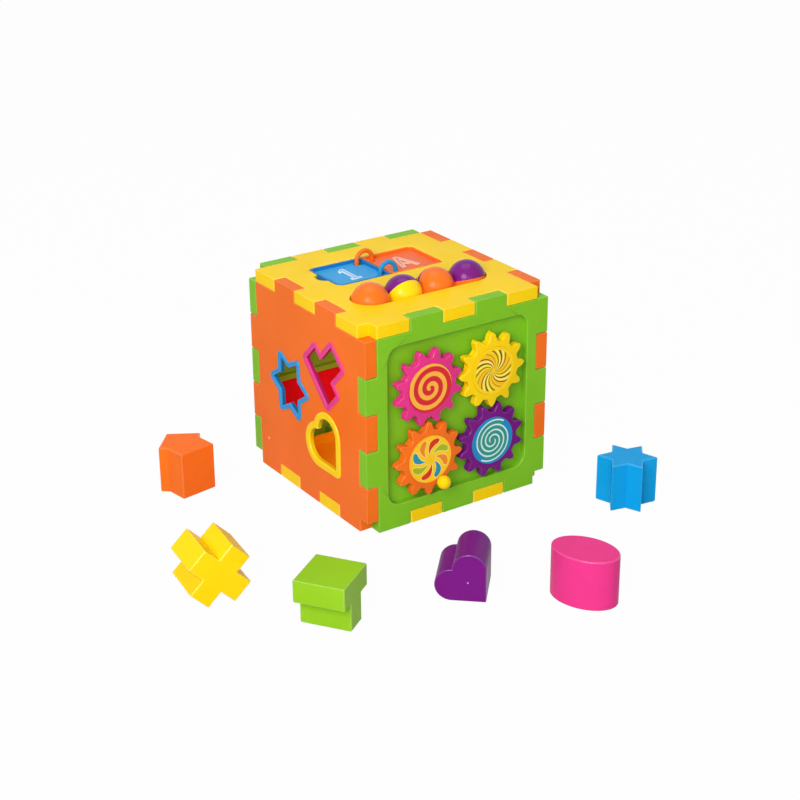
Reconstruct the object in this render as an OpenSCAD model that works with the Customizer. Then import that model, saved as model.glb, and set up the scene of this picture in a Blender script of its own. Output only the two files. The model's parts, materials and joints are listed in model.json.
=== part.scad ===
// Shape sorter cube: six interlocking panels, a gear train, spinning beads,
// a flip book, six sorting openings with their blocks, and a retrieval hatch.
// Origin: centre of the cube's base. +Z up, gears face -Y, first sorting face -X.

/* [Cube] */
// Side of the assembled cube
cube_side = 150; // [144:1:190]
// Depth of each panel, edge to edge of a tab
panel_t = 9; // [8.6:0.2:12]
// Thickness of a panel's face
skin = 2; // [1.6:0.1:2.6]
// Thickness of the walls round a panel
wall = 2.2; // [1.6:0.1:3]
// Gap on each side of a tab and round a pressed-in piece
fit = 0.12; // [0.05:0.01:0.3]

/* [Gear face] */
// Side of the recess that holds the gears
recess_w = 115; // [112:1:124]
// Corner radius of the recess
recess_r = 9.5; // [4:0.5:16]
// Depth of the recess
recess_d = 5; // [3:0.5:5.5]
// Place of the gears' middle to the right of the panel's centre
gear_x = -0.8; // [-2:0.1:2]
// Height of the gears' middle above the panel's centre
gear_z = -2; // [-3:0.1:2]
// Distance between neighbouring gear centres
gear_pitch = 52.2; // [50:0.2:54]
// Teeth on each gear
gear_teeth = 12; // [10:1:14]
// Height of a tooth above the pitch circle
tooth_add = 1.2; // [1.1:0.1:1.6]
// Depth of a gap below the pitch circle
tooth_ded = 5; // [2.6:0.1:5.4]
// Thickness of a gear with its hub
gear_t = 9.2; // [8:0.2:12]
// How far a gear's front falls from its disc to the tips of its teeth
gear_slope = 1; // [0:0.2:2.4]
// Gap between a gear and the recess floor
gear_gap = 0.5; // [0.3:0.1:1]
// Thickness of a gear's toothed plate in front of its hub
gear_web = 6.2; // [4.6:0.2:7]
// Diameter of the posts that the gears turn on
post_d = 8; // [6:0.5:10]
// Radial running gap on posts, pins and axles
run_gap = 0.05; // [0.02:0.01:0.1]
// Diameter of a screw's washer head
screw_head_d = 11.4; // [11:0.2:14]
// Thickness of a screw's washer head
screw_head_t = 1.6; // [1.2:0.1:1.9]
// Diameter of a screw's shank
screw_d = 3; // [2.5:0.1:3.5]
// Length of a screw's shank
screw_len = 7; // [5:0.5:8]

/* [Gear discs] */
// Diameter of the printed discs
disc_d = 34.4; // [28:0.1:35]
// Thickness of a printed disc
disc_t = 1.4; // [1:0.1:1.6]
// Height of a disc above its gear
disc_proud = 0.2; // [0:0.05:0.4]

/* [Crank knob] */
// Diameter of the ball knob
knob_d = 9.6; // [8:0.2:12]
// Distance of the knob from its gear's centre
knob_r = 19.2; // [19.2:0.1:20]
// Direction of the knob from its gear's centre
knob_angle = -66; // [-180:1:180]
// Gap between the knob and the gear
knob_gap = 0.3; // [0.2:0.05:0.6]
// Diameter of the knob's pin
knob_pin_d = 3; // [2.4:0.1:3.4]
// Gap between the knob's pin and the disc beside it
knob_pin_gap = 0.3; // [0.2:0.05:0.6]
// How far the knob's pin is set into its gear
knob_pin_grip = 4; // [3:0.5:5]

/* [Beads] */
// Diameter of a bead
bead_d = 26.3; // [22:0.1:27]
// Gap between two beads
bead_gap = 0.3; // [0.2:0.05:0.6]
// Wall of a bead's hollow shell
bead_wall = 2; // [1.6:0.1:3]
// Diameter of the hub round the axle
bead_hub_d = 7; // [6:0.2:9]
// Gap round the row of beads in its slot
slot_gap = 1.05; // [0.6:0.05:2]
// Place of the row of beads behind the panel's centre
bead_y = -28; // [-32:0.5:-24]
// Depth of the axle below the panel's face
axle_drop = 2.7; // [2.4:0.1:4]
// Diameter of the axle
axle_d = 3.2; // [2.6:0.1:3.6]
// How far each end of the axle reaches into the panel
axle_seat = 3.6; // [2:0.2:4]

/* [Flip book] */
// Width of the book's well
book_w = 88; // [80:1:96]
// Length of the book's well along the spine
book_l = 42; // [40:0.5:44]
// Sideways place of the spine
book_x = -1; // [-6:0.5:6]
// Place of the book behind the panel's centre
book_y = 24; // [22:0.5:25]
// Corner radius of the well
book_r = 5; // [2:0.5:8]
// Gap round a page
page_gap = 0.5; // [0.3:0.05:0.8]
// Thickness of a page's floor
page_t = 1.45; // [1.2:0.05:1.6]
// Height of a page's rim above its floor
page_rim_h = 2.5; // [1.5:0.1:2.6]
// Width of a page's rim
page_rim_w = 1.4; // [1:0.1:1.4]
// Height of the hinge line above the rims
page_lift = 0.15; // [0.1:0.05:0.3]
// Gap below a page
page_under = 0.2; // [0.1:0.05:0.4]
// Outer diameter of a binder ring
ring_d = 16; // [15.6:0.2:18]
// Thickness of a binder ring
ring_t = 3.2; // [2.6:0.1:3.2]
// Distance between the two rings
ring_pitch = 30; // [24:0.5:31]
// How far a ring's legs are set into the panel
ring_seat = 2.6; // [1.5:0.1:2.7]
// Radius of the finger notch beside the blue page
notch_r = 8; // [6:0.5:10]
// How far the finger notch reaches past the well
notch_out = 5; // [3:0.5:6]

/* [Sorting openings] */
// Gap between a block and its opening
sort_gap = 0.6; // [0.4:0.05:1]
// Width of the flange round the heart and the oval
frame_w = 5; // [4:0.2:5.4]
// Width of the flange round the T, the cross and the arrow
corner_frame_w = 3.8; // [3.4:0.2:5]
// Width of the flange round the star
star_frame_w = 3.6; // [3.2:0.2:5]
// Height of a frame above the panel
frame_proud = 1; // [0.6:0.1:2]
// How far a frame's neck stands into the cube behind the panel's skin
frame_deep = 0.6; // [0:0.2:3]
// Wall of a frame's neck in the panel
frame_neck = 1.6; // [1.2:0.1:2.4]
// Tip radius of the star
star_r = 20.8; // [18:0.2:21.4]
// Valley radius of the star
star_valley = 12.5; // [10:0.1:14]
// Length of the T's bar
tee_bar = 36; // [30:0.2:37.2]
// Thickness of the T's bar
tee_bar_t = 15.2; // [12:0.2:16.8]
// Width of the T's stem
tee_stem = 16.2; // [12:0.2:18]
// Length of the T's stem
tee_stem_l = 19.4; // [15:0.2:20]
// Straight side of the heart
heart_s = 22; // [18:0.2:22.6]
// Long diameter of the oval
oval_long = 46; // [40:0.5:47]
// Short diameter of the oval
oval_short = 31.6; // [26:0.2:33]
// Span of the cross
cross_span = 41.4; // [36:0.2:42.4]
// Width of the cross's arms
cross_arm = 16.2; // [12:0.2:18]
// Width of the arrow's head
arrow_w = 36.6; // [32:0.2:38]
// Length of the arrow
arrow_l = 36.4; // [32:0.2:38]
// Length of the arrow's head
arrow_head = 15.3; // [12:0.1:17]
// Drop of the arrow's barbs
arrow_barb = 4.7; // [2:0.1:6]
// Width of the arrow's stem
arrow_stem = 28.2; // [20:0.2:30]

/* [Places of the openings] */
// Sideways place of the star opening on its panel
star_hole_x = -22.6; // [-24.6:0.2:-20.6]
// Height of the star opening above its panel's centre
star_hole_y = 1.6; // [-0.4:0.2:3.6]
// Sideways place of the T opening on its panel
tee_hole_x = 27.2; // [25.2:0.2:28.4]
// Height of the T opening above its panel's centre
tee_hole_y = 30.4; // [28.4:0.2:32.4]
// Sideways place of the heart opening on its panel
heart_hole_x = 20.4; // [18.4:0.2:22.4]
// Height of the heart opening above its panel's centre
heart_hole_y = -23.8; // [-25.8:0.2:-21.8]
// Sideways place of the oval opening on its panel
oval_hole_x = 27; // [25:0.2:29]
// Height of the oval opening above its panel's centre
oval_hole_y = 31; // [29:0.2:33]
// Sideways place of the cross opening on its panel
cross_hole_x = -27; // [-29:0.2:-25]
// Height of the cross opening above its panel's centre
cross_hole_y = 0; // [-2:0.2:2]
// Sideways place of the arrow opening on its panel
arrow_hole_x = 27; // [25:0.2:29]
// Height of the arrow opening above its panel's centre
arrow_hole_y = -29; // [-31:0.2:-27]

/* [Blocks] */
// Length of every block
block_l = 34.5; // [28:0.5:40]
// Wall of a block's hollow shell
block_wall = 2; // [1.4:0.1:2.6]

/* [Places of the blocks] */
// Distance of the star block to the right of the cube
star_block_x = 27.8; // [25:0.1:33.4]
// Distance of the star block in front of the cube
star_block_y = 57.4; // [51.7:0.1:68.9]
// Distance of the T block to the left of the cube
tee_block_x = 77.8; // [70:0.1:93.4]
// Distance of the T block in front of the cube
tee_block_y = 77.6; // [69.8:0.1:93.1]
// Distance of the oval block to the right of the cube's left side
oval_block_x = 68.9; // [62:0.1:82.7]
// Distance of the oval block in front of the cube
oval_block_y = 144; // [129.6:0.1:172.8]
// Distance of the heart block to the right of the cube's left side
heart_block_x = 13; // [0:0.5:26]
// Distance of the heart block in front of the cube
heart_block_y = 91; // [81.9:0.1:109.2]
// Distance of the cross block to the left of the cube
cross_block_x = 121.7; // [109.5:0.1:146]
// Distance of the cross block in front of the cube
cross_block_y = 5.5; // [-20:0.5:40]
// Distance of the arrow block to the left of the cube
arrow_block_x = 64.9; // [58.4:0.1:77.9]
// Distance of the arrow block in front of the cube's back
arrow_block_y = 9.7; // [0:0.1:60]

/* [Hatch] */
// Width of the hatch opening
hatch_w = 112; // [70:1:114]
// Height of the hatch opening
hatch_h = 44; // [30:1:48]
// Height of the opening above the floor
hatch_z = 17; // [14:0.5:24]
// Gap round the hatch
hatch_gap = 0.4; // [0.2:0.05:0.8]
// Diameter of the hatch's hinge barrel
hatch_barrel_d = 4.4; // [4:0.1:5]
// Diameter of the hatch's hinge pins
hatch_pin_d = 2.6; // [2:0.1:3]
// Length of a hinge pin in its boss
hatch_pin_l = 4; // [3:0.5:6]
// Radius of the finger notch in the hatch
hatch_notch = 8; // [6:0.5:10]

/* [Hidden] */
$fn = 64;

half = cube_side / 2;
body_h = half - panel_t - fit;
segment = (cube_side - 2 * panel_t) / 5;
// Tabs on the right, upper, left and lower edge of each panel, seen from outside
gear_tabs = [3, 2, 2, 3];
left_tabs = [3, 2, 2, 3];
base_tabs = [3, 2, 2, 3];
right_tabs = [3, 3, 2, 2];
back_tabs = [3, 3, 2, 2];
top_tabs = [2, 2, 3, 3];

gear_r = gear_pitch / 2;
pressure = 36;
base_r = gear_r * cos(pressure);
tip_r = gear_r + tooth_add;
root_r = gear_r - tooth_ded;
tooth_step = 360 / gear_teeth;
// Half of a tooth's angle at the pitch circle, with backlash
tooth_half = tooth_step * 0.125;
// Where a tooth's flank starts
flank_r = max(base_r, root_r + 0.4);
gear_low = gear_gap - recess_d;
gear_top = gear_low + gear_t;
disc_seat = disc_t - disc_proud;
// Where a gear's front starts to fall
slope_r = disc_d / 2 + 0.9;
head_z = gear_top - disc_seat - screw_head_t - 1;
head_under = 0.2;
head_bore = screw_head_d + 1;
hub_r = head_bore / 2 + 2.2;
knob_z = gear_top + knob_gap + knob_d / 2;

bead_step = bead_d + bead_gap;
slot_r = bead_d / 2 + slot_gap;
slot_half = 2 * bead_step + slot_gap / 2;
axle_wall = axle_seat + 1.2;
axle_half = slot_half + axle_seat;

hinge_z = page_lift;
rim_top = 0;
page_top = -page_rim_h;
page_low = page_top - page_t;
well_floor = page_low - page_under;
page_w = (book_w - 2 * page_gap - 2 * page_gap) / 2;
ring_r = (ring_d - ring_t) / 2;
leg_low = well_floor - ring_seat;
// Slot in a page that lets it swing along a ring
swing_in = sqrt(pow(ring_r - ring_t / 2, 2) - pow(hinge_z - page_low, 2)) - 0.35;
swing_out = ring_d / 2 + 0.35;
swing_w = ring_t + 1;

tee_l = tee_bar_t + tee_stem_l;
// Centres of the openings on their panels, seen from outside
star_hole = [star_hole_x, star_hole_y];
tee_hole = [tee_hole_x, tee_hole_y];
tee_turn = 135;
heart_hole = [heart_hole_x, heart_hole_y];
cross_hole = [cross_hole_x, cross_hole_y];
oval_hole = [oval_hole_x, oval_hole_y];
arrow_hole = [arrow_hole_x, arrow_hole_y];
// Where the loose blocks lie round the cube, and the way that each one is turned
star_at = [half + star_block_x, -half - star_block_y];
star_turn = 19.7;
tee_at = [-half - tee_block_x, -half - tee_block_y];
tee_heading = -55.3;
heart_at = [-half + heart_block_x, -half - heart_block_y];
heart_heading = -131.9;
oval_at = [-half + oval_block_x, -half - oval_block_y];
oval_turn = -67.5;
cross_at = [-half - cross_block_x, -half - cross_block_y];
cross_heading = -97.8;
arrow_at = [-half - arrow_block_x, half - arrow_block_y];
arrow_turn = 9.3;
hatch_axis_v = hatch_z + hatch_h - half - hatch_barrel_d / 2 - hatch_gap;
hatch_axis_w = -hatch_barrel_d / 2;
hatch_mid = hatch_z + hatch_h / 2 - half;

orange = "#f5752c";
green = "#76bb2d";
yellow = "#ffd432";
pink = "#e43487";
purple = "#761982";
blue = "#3c9bd7";
red = "#d70a19";

// Places a panel, drawn face up at z = 0, on one side of the cube
module on_front() { translate([0, -half, half]) rotate([90, 0, 0]) children(); }
module on_back() { translate([0, half, half]) rotate([90, 0, 180]) children(); }
module on_left() { translate([-half, 0, half]) rotate([90, 0, -90]) children(); }
module on_right() { translate([half, 0, half]) rotate([90, 0, 90]) children(); }
module on_top() { translate([0, 0, cube_side]) children(); }
module on_base() { rotate([180, 0, 0]) children(); }

module rounded(w, l, r) {
    square([w - 2 * r, l], center = true);
    square([w, l - 2 * r], center = true);
    for (x = [-1, 1], y = [-1, 1])
        translate([x * (w / 2 - r), y * (l / 2 - r)]) circle(r);
}

// Outline of a panel with its tabs, drawn in by an inset
module panel_2d(tabs, inset = 0) {
    square(2 * (body_h - inset), center = true);
    for (edge = [0:3])
        rotate(90 * edge)
            for (k = tabs[edge] == 3 ? [0, 2, 4] : [1, 3])
                translate([body_h - inset - 1, -half + panel_t + k * segment + fit + inset])
                    square([half - body_h + 1, segment - 2 * (fit + inset)]);
}

// A panel: a face with walls all round, open on the inside
module tray(tabs) {
    difference() {
        translate([0, 0, -panel_t]) linear_extrude(panel_t) panel_2d(tabs);
        translate([0, 0, -panel_t - 1]) linear_extrude(panel_t - skin + 1) panel_2d(tabs, wall);
    }
}

// Sorting shapes, each grown by a gap
module star_2d(grow = 0) {
    offset(delta = grow)
        polygon([for (i = [0:11]) (i % 2 == 0 ? star_r : star_valley) * [cos(30 * i), sin(30 * i)]]);
}
module tee_2d(grow = 0) {
    offset(delta = grow) translate([0, -tee_l / 2]) {
        translate([-tee_bar / 2, tee_stem_l]) square([tee_bar, tee_bar_t]);
        translate([-tee_stem / 2, 0]) square([tee_stem, tee_stem_l + 1]);
    }
}
module heart_2d(grow = 0) {
    r = heart_s / 2 + grow;
    translate([-heart_s / 4, -heart_s * 0.75]) {
        translate([-grow, -grow]) square(heart_s + 2 * grow);
        translate([heart_s / 2, heart_s]) circle(r);
        translate([0, heart_s / 2]) circle(r);
    }
}
module oval_2d(grow = 0) {
    polygon([for (i = [0:71])
        [(oval_long / 2 + grow) * cos(5 * i), (oval_short / 2 + grow) * sin(5 * i)]]);
}
module cross_2d(grow = 0) {
    square([cross_span + 2 * grow, cross_arm + 2 * grow], center = true);
    square([cross_arm + 2 * grow, cross_span + 2 * grow], center = true);
}
module arrow_2d(grow = 0) {
    eave = arrow_l / 2 - arrow_head;
    right = [[0, arrow_l / 2], [arrow_w / 2, eave], [arrow_stem / 2, eave - arrow_barb], [arrow_stem / 2, -arrow_l / 2]];
    offset(delta = grow)
        polygon(concat(right, [for (i = [3:-1:1]) [-right[i][0], right[i][1]]]));
}

module star_place() { translate(star_hole) children(); }
module tee_place() { translate(tee_hole) rotate(tee_turn) children(); }
module heart_place() { translate(heart_hole) children(); }
module cross_place() { translate(cross_hole) children(); }
module oval_place() { translate(oval_hole) children(); }
module arrow_place() { translate(arrow_hole) children(); }

// The cut in a panel for a frame's neck
module neck_cut() {
    translate([0, 0, -skin - 1]) linear_extrude(skin + 2) offset(r = frame_neck + fit) children();
}

// A frame round an opening: a flange on the panel and a neck in it
module frame(width) {
    difference() {
        union() {
            linear_extrude(frame_proud) offset(r = width) children();
            translate([0, 0, -skin - frame_deep]) linear_extrude(skin + frame_deep + 0.1) offset(r = frame_neck) children();
        }
        translate([0, 0, -skin - frame_deep - 1]) linear_extrude(skin + frame_deep + frame_proud + 2) children();
    }
}

// Panels
module base_panel() {
    color(yellow) on_base() tray(base_tabs);
}

module gear_place(x, y) { translate([gear_x + x * gear_r, gear_z + y * gear_r, 0]) children(); }
module gear_places() {
    for (x = [-1, 1], y = [-1, 1]) gear_place(x, y) children();
}

module gear_panel() {
    deep = recess_d + skin;
    color(green) on_front() difference() {
        union() {
            tray(gear_tabs);
            difference() {
                translate([0, 0, -deep]) linear_extrude(deep) rounded(recess_w + 2 * wall, recess_w + 2 * wall, recess_r + wall);
                translate([0, 0, -recess_d]) linear_extrude(deep) rounded(recess_w, recess_w, recess_r);
            }
            gear_places() translate([0, 0, -panel_t]) cylinder(d = post_d, h = panel_t + head_z);
        }
        difference() {
            translate([0, 0, -recess_d]) linear_extrude(deep) rounded(recess_w, recess_w, recess_r);
            gear_places() translate([0, 0, -panel_t]) cylinder(d = post_d, h = panel_t + head_z);
        }
        gear_places() translate([0, 0, head_z - screw_len - 0.4])
            cylinder(d = screw_d + 2 * run_gap, h = screw_len + 1);
    }
}

module left_sorter_panel() {
    color(orange) on_left() difference() {
        tray(left_tabs);
        neck_cut() star_place() star_2d(sort_gap);
        neck_cut() tee_place() tee_2d(sort_gap);
        neck_cut() heart_place() heart_2d(sort_gap);
    }
}

module right_sorter_panel() {
    color(orange) on_right() difference() {
        tray(right_tabs);
        neck_cut() oval_place() oval_2d(sort_gap);
        neck_cut() cross_place() cross_2d(sort_gap);
        neck_cut() arrow_place() arrow_2d(sort_gap);
    }
}

module back_panel() {
    low = hatch_z - half;
    boss = hatch_pin_l + 1.4;
    lip = 1.4;
    behind = hatch_barrel_d + hatch_gap + lip;
    color(green) on_back() difference() {
        union() {
            difference() {
                tray(back_tabs);
                translate([-hatch_w / 2, low, -skin - 1]) cube([hatch_w, hatch_h, skin + 2]);
            }
            for (side = [-1, 1])
                translate([side * (hatch_w + boss) / 2, hatch_axis_v, -skin - 1.6])
                    cube([boss, hatch_barrel_d + 3, 3.2 + skin], center = true);
            // A lip behind the hinge barrel
            translate([-hatch_w / 2 - 0.5, low + hatch_h, -behind]) cube([hatch_w + 1, lip, behind - skin / 2]);
            translate([-hatch_w / 2 - 0.5, hatch_axis_v, -behind]) cube([hatch_w + 1, low + hatch_h - hatch_axis_v + lip, lip]);
            translate([-hatch_notch - 6, low - 4, -skin - 2.2]) cube([2 * hatch_notch + 12, 4.2, 2.3]);
            translate([-hatch_notch - 6, low, -skin - 2.2]) cube([2 * hatch_notch + 12, 3, 1.9]);
        }
        for (side = [-1, 1])
            translate([side * hatch_w / 2, hatch_axis_v, hatch_axis_w]) rotate([0, side * 90, 0])
                translate([0, 0, -1]) cylinder(d = hatch_pin_d + 2 * run_gap, h = hatch_pin_l + 1.2);
        translate([0, low + hatch_gap, -skin - 3]) cylinder(r = hatch_notch, h = 3.001);
    }
}

module slot_2d(grow = 0) {
    hull_half = slot_half - slot_r;
    square([2 * hull_half, 2 * (slot_r + grow)], center = true);
    for (side = [-1, 1]) translate([side * hull_half, 0]) circle(slot_r + grow);
}

module well_2d(grow = 0) {
    rounded(book_w + 2 * grow, book_l + 2 * grow, book_r + grow);
    translate([notch_r - book_w / 2 - notch_out, 0]) circle(notch_r + grow);
}

module ring_legs() {
    for (side = [-1, 1], y = [-1, 1])
        translate([book_x + side * ring_r, book_y + y * ring_pitch / 2, 0]) children();
}

module top_panel() {
    color(yellow) on_top() difference() {
        union() {
            tray(top_tabs);
            translate([book_x, book_y, well_floor - skin]) linear_extrude(skin - well_floor) well_2d(wall);
            ring_legs() translate([0, 0, -panel_t]) cylinder(d = ring_t + 3.6, h = panel_t + well_floor);
            translate([0, bead_y, -panel_t]) linear_extrude(panel_t) slot_2d(axle_wall);
        }
        translate([book_x, book_y, well_floor]) linear_extrude(panel_t) well_2d();
        translate([0, bead_y, -panel_t - 1]) linear_extrude(panel_t + 2) slot_2d();
        ring_legs() translate([0, 0, leg_low]) cylinder(d = ring_t + 2 * run_gap, h = panel_t);
        translate([-axle_half, bead_y, -axle_drop]) rotate([0, 90, 0])
            cylinder(d = axle_d + 2 * run_gap, h = 2 * axle_half);
    }
}

// Frames of the openings
module star_frame() { color(blue) on_left() star_place() frame(star_frame_w) star_2d(sort_gap); }
module tee_frame() { color(pink) on_left() tee_place() frame(corner_frame_w) tee_2d(sort_gap); }
module heart_frame() { color(yellow) on_left() heart_place() frame(frame_w) heart_2d(sort_gap); }
module oval_frame() { color(blue) on_right() oval_place() frame(frame_w) oval_2d(sort_gap); }
module cross_frame() { color(pink) on_right() cross_place() frame(corner_frame_w) cross_2d(sort_gap); }
module arrow_frame() { color(yellow) on_right() arrow_place() frame(corner_frame_w) arrow_2d(sort_gap); }

// Involute of the base circle, as an angle in degrees, at a radius
function involute(r) = let (a = acos(min(1, base_r / r))) tan(a) * 180 / PI - a;
function flank(r) = tooth_half + involute(gear_r) - involute(r);
// One side of a tooth from the middle of a gap to the tip: radius and angle from the tooth's centre
tooth_side = [
    [root_r, tooth_step / 2],
    [root_r + 0.15, (tooth_step / 2 + flank(flank_r)) / 2],
    [flank_r, flank(flank_r)],
    [gear_r - 1, flank(gear_r - 1)],
    [gear_r, flank(gear_r)],
    [tip_r - 1, flank(tip_r - 1) * 0.95],
    [tip_r - 0.35, flank(tip_r) * 0.76],
    [tip_r - 0.06, flank(tip_r) * 0.38],
    [tip_r, 0]];
last_side = len(tooth_side) - 1;

module gear_2d(phase) {
    polygon([for (k = [0:gear_teeth - 1], i = [0:2 * last_side - 1])
        let (p = tooth_side[i <= last_side ? i : 2 * last_side - i], s = i <= last_side ? -1 : 1,
            a = phase + k * tooth_step + s * p[1])
        p[0] * [cos(a), sin(a)]]);
}

// A toothed wheel whose front falls away from its disc to the tips
module gear_blank(phase) {
    reach = tip_r + 1;
    drop = gear_slope * (reach - slope_r) / (tip_r - slope_r);
    intersection() {
        translate([0, 0, gear_low]) linear_extrude(gear_t) gear_2d(phase);
        rotate_extrude() polygon([[0, gear_low - 1], [reach, gear_low - 1], [reach, gear_top - drop], [slope_r, gear_top], [0, gear_top]]);
    }
}

// A toothed plate on a hub, with its bore, its screw head's well and its disc's seat
module gear(phase, boss = false) {
    difference() {
        gear_blank(phase);
        translate([0, 0, gear_low - 1]) cylinder(d = post_d + 2 * run_gap, h = gear_t + 2);
        translate([0, 0, head_z - head_under]) cylinder(d = head_bore, h = gear_t);
        translate([0, 0, gear_top - disc_seat]) cylinder(d = disc_d + 2 * fit, h = disc_t);
        difference() {
            translate([0, 0, gear_low - 1]) cylinder(r = tip_r + 1, h = gear_t - gear_web + 1);
            translate([0, 0, gear_low - 2]) cylinder(r = hub_r, h = gear_t);
            if (boss) rotate(knob_angle) translate([knob_r, 0, gear_low - 2]) cylinder(d = knob_pin_d + 4, h = gear_t);
        }
        if (boss) rotate(knob_angle) translate([knob_r, 0, gear_top - knob_pin_grip - 2])
            cylinder(d = knob_pin_d + 2 * run_gap, h = knob_pin_grip + 3);
    }
}

module pink_at() { on_front() gear_place(-1, 1) children(); }
module yellow_at() { on_front() gear_place(1, 1) children(); }
module orange_at() { on_front() gear_place(-1, -1) children(); }
module purple_at() { on_front() gear_place(1, -1) children(); }
module disc() { translate([0, 0, gear_top - disc_seat]) cylinder(d = disc_d, h = disc_t); }

// Neighbouring gears are half a tooth apart, so teeth meet gaps
module pink_gear() { color(pink) pink_at() gear(tooth_step / 2); }
module yellow_gear() { color(yellow) yellow_at() gear(180); }
module orange_crank_gear() { color(orange) orange_at() gear(0, true); }
module purple_gear() { color(purple) purple_at() gear(180 + tooth_step / 2); }
module red_spiral_disc() { color(red) pink_at() disc(); }
module swirl_disc() { color(yellow) yellow_at() disc(); }
module petal_disc() {
    color(yellow) orange_at() difference() {
        disc();
        rotate(knob_angle) translate([knob_r, 0, gear_low]) cylinder(d = knob_pin_d + 2 * knob_pin_gap, h = 2 * gear_t);
    }
}
module blue_spiral_disc() { color(blue) purple_at() disc(); }

module gear_screws() {
    color("silver") on_front() gear_places() difference() {
        union() {
            translate([0, 0, head_z]) cylinder(d = screw_head_d, h = screw_head_t);
            translate([0, 0, head_z - screw_len]) cylinder(d = screw_d, h = screw_len + 0.1);
        }
        for (a = [0, 90])
            rotate(a) translate([-2.4, -0.5, head_z + screw_head_t - 0.9]) cube([4.8, 1, 1]);
    }
}

module knob_pin() {
    color("silver") orange_at() rotate(knob_angle)
        translate([knob_r, 0, gear_top - knob_pin_grip]) cylinder(d = knob_pin_d, h = knob_pin_grip + knob_gap + knob_d * 0.7);
}

module crank_knob() {
    color(yellow) orange_at() rotate(knob_angle) translate([knob_r, 0, 0]) difference() {
        translate([0, 0, knob_z]) sphere(d = knob_d);
        translate([0, 0, gear_top]) cylinder(d = knob_pin_d + 2 * run_gap, h = knob_gap + knob_d * 0.7 + 0.2);
    }
}

// Beads
module at_bead(index) {
    translate([(index - 2.5) * bead_step, bead_y, cube_side - axle_drop]) children();
}

// Section of a hollow bead with its hub, to one side of the axle
module bead_section() {
    intersection() {
        union() {
            difference() {
                circle(d = bead_d);
                circle(d = bead_d - 2 * bead_wall);
            }
            intersection() {
                circle(d = bead_d - bead_wall);
                square([bead_hub_d, bead_d], center = true);
            }
        }
        translate([axle_d / 2 + run_gap, -bead_d]) square(2 * bead_d);
    }
}

// Half of a hollow bead on the side that an angle about the axle points to
module bead_half(index, angle) {
    at_bead(index) rotate([angle, 0, 0]) rotate([0, 90, 0]) rotate_extrude(angle = 180) bead_section();
}

// Angle of each bead's first half, from straight back towards up
bead_1_turn = 153;
bead_2_turn = 30;
bead_3_turn = 153;
bead_4_turn = 73;

module bead_1_front() { color(orange) bead_half(1, bead_1_turn); }
module bead_1_rear() { color(orange) bead_half(1, bead_1_turn + 180); }
module bead_2_front() { color(yellow) bead_half(2, bead_2_turn + 180); }
module bead_2_rear() { color(purple) bead_half(2, bead_2_turn); }
module bead_3_front() { color(orange) bead_half(3, bead_3_turn); }
module bead_3_rear() { color(purple) bead_half(3, bead_3_turn + 180); }
module bead_4_top() { color(purple) bead_half(4, bead_4_turn); }
module bead_4_under() { color(orange) bead_half(4, bead_4_turn + 180); }

module bead_axle() {
    color("silver") translate([-axle_half, bead_y, cube_side - axle_drop]) rotate([0, 90, 0])
        cylinder(d = axle_d, h = 2 * axle_half);
}

// Book
// A page to the left of the spine: a shallow tray with slots for the rings
module page() {
    length = book_l - 2 * page_gap;
    corner = max(1, book_r - page_gap);
    difference() {
        translate([-page_gap, 0, page_low]) linear_extrude(rim_top - page_low) page_2d(length, corner, 0);
        translate([-page_gap, 0, page_top]) linear_extrude(page_rim_h + 1) page_2d(length, corner, page_rim_w);
        for (y = [-1, 1])
            translate([-swing_out, y * ring_pitch / 2 - swing_w / 2, page_low - 1])
                cube([swing_out - swing_in, swing_w, page_t + 2]);
    }
}

module page_2d(length, corner, inset) {
    r = max(0.4, corner - inset);
    translate([-page_w + inset, -length / 2 + inset + r]) square([page_w - 2 * inset, length - 2 * inset - 2 * r]);
    translate([-page_w + inset + r, -length / 2 + inset]) square([page_w - 2 * inset - r, length - 2 * inset]);
    for (y = [-1, 1])
        translate([-page_w + inset + r, y * (length / 2 - inset - r)]) circle(r);
}

module book_at() { translate([book_x, book_y, cube_side]) children(); }
module blue_page() { color(blue) book_at() page(); }
module orange_page() { color(orange) book_at() rotate(180) page(); }

// A binder ring: a half ring on two legs set into the well's floor
module ring() {
    translate([0, 0, hinge_z]) rotate([90, 0, 0]) rotate_extrude(angle = 180)
        translate([ring_r, 0]) circle(d = ring_t);
    for (side = [-1, 1])
        translate([side * ring_r, 0, leg_low]) cylinder(d = ring_t, h = hinge_z - leg_low);
}

module blue_ring() { color(blue) book_at() translate([0, -ring_pitch / 2, 0]) ring(); }
module orange_ring() { color(orange) book_at() translate([0, ring_pitch / 2, 0]) ring(); }

// Hatch in the back panel, hinged along its upper edge
module retrieval_hatch() {
    low = hatch_z - half;
    wide = hatch_w - 2 * hatch_gap;
    color(red) on_back() difference() {
        union() {
            translate([-wide / 2, low + hatch_gap, -skin]) cube([wide, hatch_axis_v - low - hatch_gap, skin]);
            translate([-wide / 2, hatch_axis_v, hatch_axis_w]) rotate([0, 90, 0]) cylinder(d = hatch_barrel_d, h = wide);
            translate([-hatch_w / 2 - hatch_pin_l, hatch_axis_v, hatch_axis_w]) rotate([0, 90, 0])
                cylinder(d = hatch_pin_d, h = hatch_w + 2 * hatch_pin_l);
        }
        translate([0, low + hatch_gap, -skin - 1]) cylinder(r = hatch_notch, h = skin + 2);
    }
}

// Blocks: hollow shells closed at the end that shows
module shell() {
    difference() {
        linear_extrude(block_l) children(0);
        translate([0, 0, -1]) linear_extrude(block_l - block_wall + 1) children(1);
    }
}
// Stands a block up on its open end
module standing(at, turn) { translate([at[0], at[1], 0]) rotate(turn) children(); }
// Lays a block down with its axis along a heading, raised to rest on the floor
module lying(at, heading, up) {
    translate([at[0], at[1], up]) rotate([90, 0, 90 + heading]) translate([0, 0, -block_l / 2]) children();
}

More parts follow.
